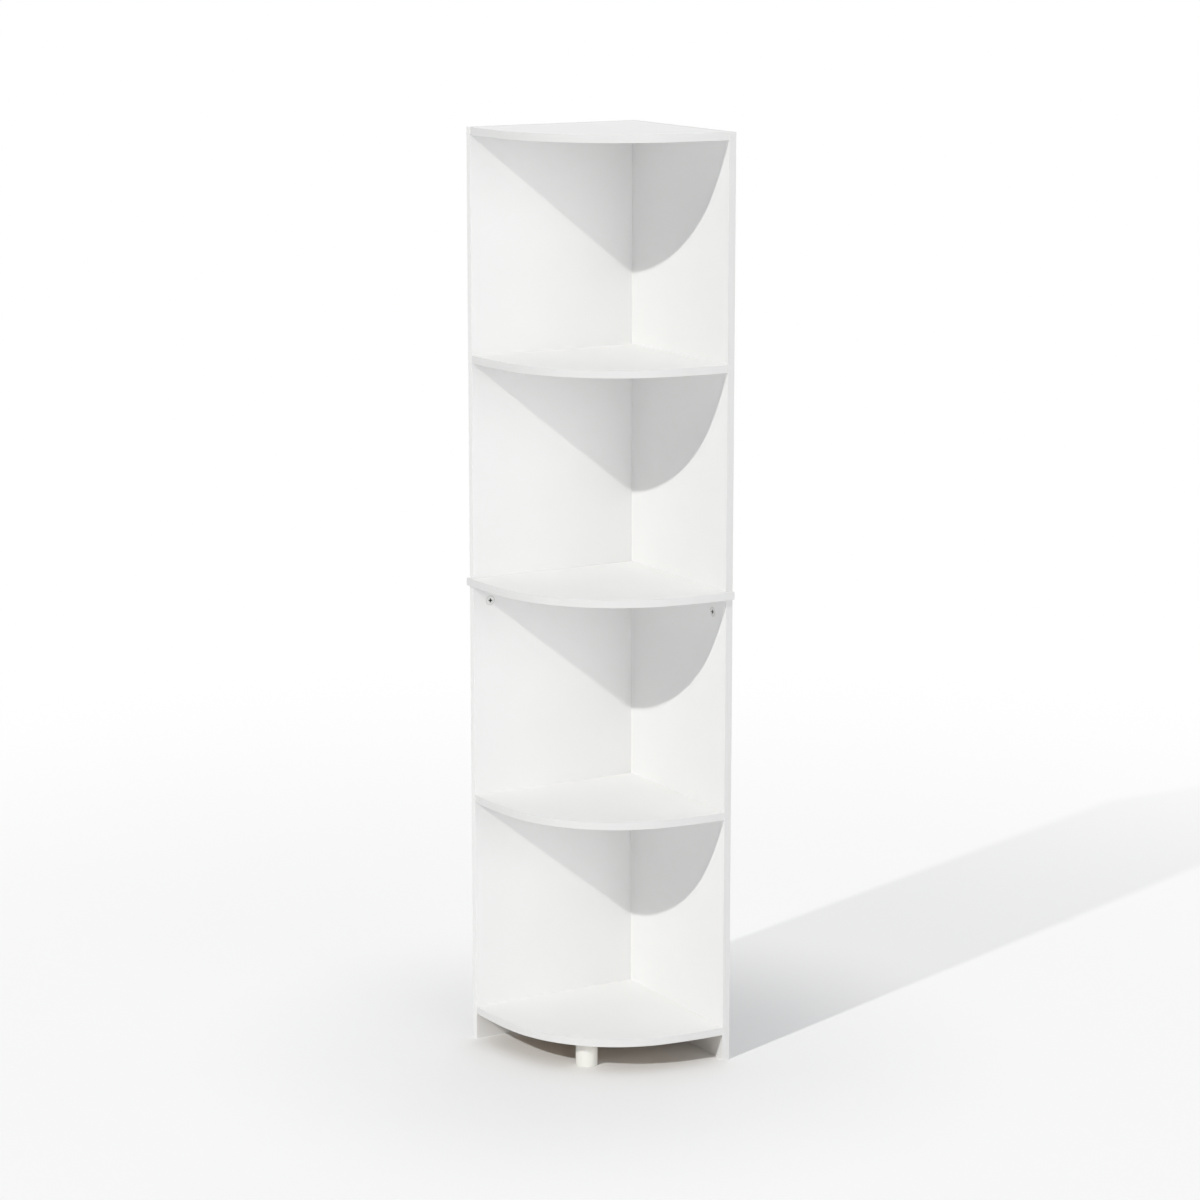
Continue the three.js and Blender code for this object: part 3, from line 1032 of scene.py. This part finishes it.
bow_centre = bow_centre_share * shelf_reach
bow_radius = bow_radius_share * shelf_reach
bow_to_front = shelf_reach - bow_centre
flat_radius = ((bow_radius**2 - bow_to_front**2 - bow_centre**2)
               / (2 * (bow_radius - bow_to_front)))
flat_centre = flat_radius - shelf_reach
flat_angle = math.atan2(bow_centre, flat_centre + bow_centre)
swings = [
    ((flat_centre, 0), flat_angle, flat_steps),
    ((-bow_centre, -bow_centre), math.pi / 2 - 2 * flat_angle, bow_steps),
    ((0, flat_centre), flat_angle, flat_steps),
]


def pushed(bm, geometry, way):
    """Extrudes a corner or a section straight on and returns its far end."""
    steps = bmesh.ops.spin(bm, geom=geometry, cent=(0, 0, 0), axis=(0, 0, 1), dvec=way,
                           angle=0, steps=1, use_merge=False)
    return steps["geom_last"]


def along_front(bm, geometry, straight):
    """Carries a corner or a section along a shelf's front, from panel to panel."""
    if straight:
        geometry = pushed(bm, geometry, (0, -straight, 0))
    for (x, y), angle, steps in swings:
        swung = bmesh.ops.spin(bm, geom=geometry, cent=corner + Vector((x, y, 0)),
                               axis=(0, 0, 1), dvec=(0, 0, 0), angle=angle, steps=steps,
                               use_merge=False)
        geometry = swung["geom_last"]
    if straight:
        geometry = pushed(bm, geometry, (straight, 0, 0))
    return geometry


print("flat arcs", round(flat_radius, 4), "m, bow", round(bow_radius, 4), "m")

# %% [markdown]
# ## Edge strips
# Tape round a shelf is a thin section, with its two outer corners trimmed round, that
# follows the front. Tape on a panel is straight, so it is a thin block whose outer face
# has its edges rounded in the same way.

# %% Edge strips
strip_rounding = 0.45 * MILLIMETRE
rounding_steps = 4
shelf_nodes = [node for node in board_nodes if node.endswith("_shelf")]


def shelf_front(node):
    """How far a shelf's front stands out from the ordinary one, and its straight run."""
    return (middle_extra, board_thickness) if node == "middle_shelf" else (0, 0)


def shelf_strip(node):
    extra, straight = shelf_front(node)
    low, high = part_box(node)
    outer = corner.x - shelf_reach - extra
    inner = outer + strip_thickness
    start = corner.y + straight
    bm = bmesh.new()
    outline = [(outer, low.z), (inner, low.z), (inner, high.z), (outer, high.z)]
    corners = [bm.verts.new((x, start, z)) for x, z in outline]
    bm.faces.new(corners)
    bmesh.ops.bevel(bm, geom=[corners[0], corners[3]], offset=strip_rounding,
                    offset_type="OFFSET", segments=rounding_steps, profile=0.5,
                    affect="VERTICES", material=-1)
    along_front(bm, bm.faces[:], straight)
    return bm


for node in shelf_nodes:
    piece = object_from(shelf_strip(node), node + "_strip", [lying_strip])
    stand_in(piece, node + "_band")
print("shelf strips:", len(shelf_nodes), "faces each:", len(piece.data.polygons))

# %% Panel strips
def panel_strip(node):
    """A straight strip whose outer face, away from the board, has rounded edges."""
    low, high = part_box(node)
    bm = block(low, high)
    if node.endswith("_top_band"):
        outward = Vector(UP)
    else:
        outward = Vector(SIDE_TO_ROOM if "_back_" in node else TO_ROOM)
    front = outer_end(node, outward).dot(outward) - strip_thickness / 2
    outer = [e for e in bm.edges if all(v.co.dot(outward) > front for v in e.verts)]
    round_edges(bm, outer, strip_rounding, rounding_steps)
    return bm


# The back panels' fronts take the painted-light copy of the tape, all other strips the painted-shade
# copy.
def panel_tape(node):
    if node.endswith("_top_band"):
        return lying_strip
    return painted_light_strip if "_back_" in node else standing_strip


panel_strips = [node for node in frame["nodes"] if "_panel_" in node and node.endswith("_band")]
for node in panel_strips:
    piece = object_from(panel_strip(node), node.replace("_band", "_strip"), [panel_tape(node)])
    stand_in(piece, node)
print("panel strips:", len(panel_strips), "faces each:", len(piece.data.polygons))

# %% [markdown]
# ## Boards
# A panel is a sawn board, so it starts as a block, and a shelf is the flat outline under
# its bow, pulled up by the board's thickness. The saw leaves a crisp edge, broken by a
# stroke of sandpaper, and where the strip meets the foil that stroke shows as a hairline.
# Then the holes are drilled. Broad faces and the broken edges round them wear foil, and
# all else is raw chipboard.

# %% Boards
BROAD_LEAN = 0.6
edge_break = 0.15 * MILLIMETRE
raw_undersides = ("bottom_shelf",)


def panel_board(node):
    return block(*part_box(node))


def shelf_board(node):
    extra, straight = shelf_front(node)
    low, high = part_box(node)
    bm = bmesh.new()
    reach = shelf_reach + extra - strip_thickness
    start = bm.verts.new((corner.x - reach, corner.y + straight, low.z))
    end = along_front(bm, [start], straight)[0]
    rear = bm.verts.new((corner.x + straight, corner.y + straight, low.z))
    bm.edges.new((end, rear))
    bm.edges.new((rear, start))
    bmesh.ops.contextual_create(bm, geom=bm.edges[:])
    grown = bmesh.ops.extrude_face_region(bm, geom=bm.faces[:])["geom"]
    bmesh.ops.translate(bm, vec=(0, 0, high.z - low.z), verts=verts_of(grown))
    return bm


def wear_foil(bm, thin_axis, raw_underside):
    """Gives the broad faces the first finish and the sawn ones the second."""
    bm.normal_update()
    for face in bm.faces:
        lean = face.normal[thin_axis]
        broad = abs(lean) > BROAD_LEAN
        face.material_index = 0 if broad and not (raw_underside and lean < 0) else 1


# %% Boards: cut, drilled and put in place
for node in board_nodes:
    is_shelf = node.endswith("_shelf")
    bm = shelf_board(node) if is_shelf else panel_board(node)
    bmesh.ops.recalc_face_normals(bm, faces=bm.faces)
    round_edges(bm, sharp_edges(bm, STRONG_TURN), edge_break, steps=1)
    thin_axis = 2 if is_shelf else (1 if "_back_" in node else 0)
    wear_foil(bm, thin_axis, node in raw_undersides)
    piece = object_from(bm, node + "_board", [white_foil, raw_chipboard])
    cut_away(piece, cutters[node])
    stand_in(piece, node)
    print(piece.name, "holes:", len(cutters[node]), "faces:", len(piece.data.polygons))

for cutter in {cutter for used in cutters.values() for cutter in used}:
    bpy.data.objects.remove(cutter)

# %% [markdown]
# ## Floor and light
# The unit stands on a pale floor in five lights, as in a studio. The key is a lamp far
# off to the left, so narrow that the shelves draw clear shadows on the panels. The fill
# is very wide and comes level from the front, like a white wall there, so it lights the
# panels and hardly the floor. A wide one overhead is the ceiling, another behind the
# unit keeps its rear from going grey, and the air adds a little from all round. The
# rear one is kept out of reflections, because it would glare in the top shelf. The
# floor fades into the white behind it, and both show that white to the camera and to
# anything glossy, without lighting the unit.

# %% Lamps
WHITE = (1, 1, 1)
WARM_WHITE = (1, 0.99, 0.965)
AIR_COLOUR = (0.27, 0.277, 0.286)
KEY = {"travel": (0.748, 0.269, -0.607), "width": 1.0, "strength": 1.6, "colour": WARM_WHITE}
FILL = {"travel": (-0.14, 1.0, -0.05), "width": 58.0, "strength": 1.44, "colour": WHITE}
CEILING = {"travel": (0.01, 0.01, -1.0), "width": 60.0, "strength": 0.6, "colour": WHITE}
REAR = {"travel": (-0.7, -0.7, -0.15), "width": 60.0, "strength": 0.65, "colour": WHITE}


def add_lamp(name, travel, width, strength, colour):
    """A lamp so far off that only the way in which its light travels counts."""
    data = bpy.data.lights.new(name, "SUN")
    data.energy = strength
    data.angle = math.radians(width)
    data.color = colour
    lamp = bpy.data.objects.new(name, data)
    lamp.rotation_euler = Vector(travel).to_track_quat("-Z", "Y").to_euler()
    scene.collection.objects.link(lamp)
    return lamp


add_lamp("key", **KEY)
add_lamp("fill", **FILL)
add_lamp("ceiling", **CEILING)
rear_lamp = add_lamp("rear", **REAR)
rear_lamp.visible_glossy = False
print("lamps:", len(bpy.data.lights))


# %% The air
def seen_directly(book):
    """1 for what the camera, a reflection or clear glass shows, and 0 for plain light."""
    camera_ray = book.add("ShaderNodeLightPath", output="Is Camera Ray")
    glossy_ray = book.add("ShaderNodeLightPath", output="Is Glossy Ray")
    clear_ray = book.add("ShaderNodeLightPath", output="Is Transmission Ray")
    return camera_ray + glossy_ray + clear_ray


scene.world = bpy.data.worlds.new("air")
scene.world.use_nodes = True
air = NodeBook(scene.world.node_tree)
soft = air.add("ShaderNodeBackground", None, {"Color": (*AIR_COLOUR, 1), "Strength": 1})
white = air.add("ShaderNodeBackground", None, {"Color": (*WHITE, 1), "Strength": 1})
seen = air.add("ShaderNodeMixShader", None, {0: seen_directly(air), 1: soft, 2: white})
air.add("ShaderNodeOutputWorld", None, {"Surface": seen})
print("air nodes:", len(air.tree.nodes))

# %% Floor
FLOOR_RADIUS = 14.0
FLOOR_SIDES = 96
FLOOR_DULL = (0.90, 0.90, 0.90)
FLOOR_BRIGHT = (0.92, 0.92, 0.92)
NEAR_FADE = {"start": 0.15, "end": 0.8}
FAR_FADE = {"start": 0.8, "end": 3.2}
NEAR_SHARE = 0.6

floor_finish = Finish("floor", Roughness=0.9)
floor_cloud = floor_finish.noise(floor_finish.place, scale=3)
floor_finish.put("Base Color", floor_finish.between(floor_cloud, FLOOR_DULL, FLOOR_BRIGHT))
distance = floor_finish.add("ShaderNodeVectorMath", {"operation": "LENGTH"},
                            {0: floor_finish.place}, output="Value")


def rise(start, end):
    """0 nearer to the unit than start and 1 further off than end, both in metres."""
    sockets = {"Value": distance, "From Min": start, "From Max": end}
    return floor_finish.add("ShaderNodeMapRange", {"interpolation_type": "SMOOTHSTEP"}, sockets)


glow = floor_finish.add("ShaderNodeEmission", None, {"Color": (*WHITE, 1), "Strength": 1})
fade = NEAR_SHARE * rise(**NEAR_FADE) + (1 - NEAR_SHARE) * rise(**FAR_FADE)
share = fade * seen_directly(floor_finish)
surface = floor_finish.add("ShaderNodeMixShader", None, {0: share, 1: floor_finish.matt, 2: glow})
floor_finish.feed(floor_finish.output.inputs["Surface"], surface)

bm = bmesh.new()
bmesh.ops.create_circle(bm, cap_ends=True, radius=FLOOR_RADIUS, segments=FLOOR_SIDES)
floor = object_from(bm, "floor", [floor_finish])
print("floor", 2 * FLOOR_RADIUS, "m across")
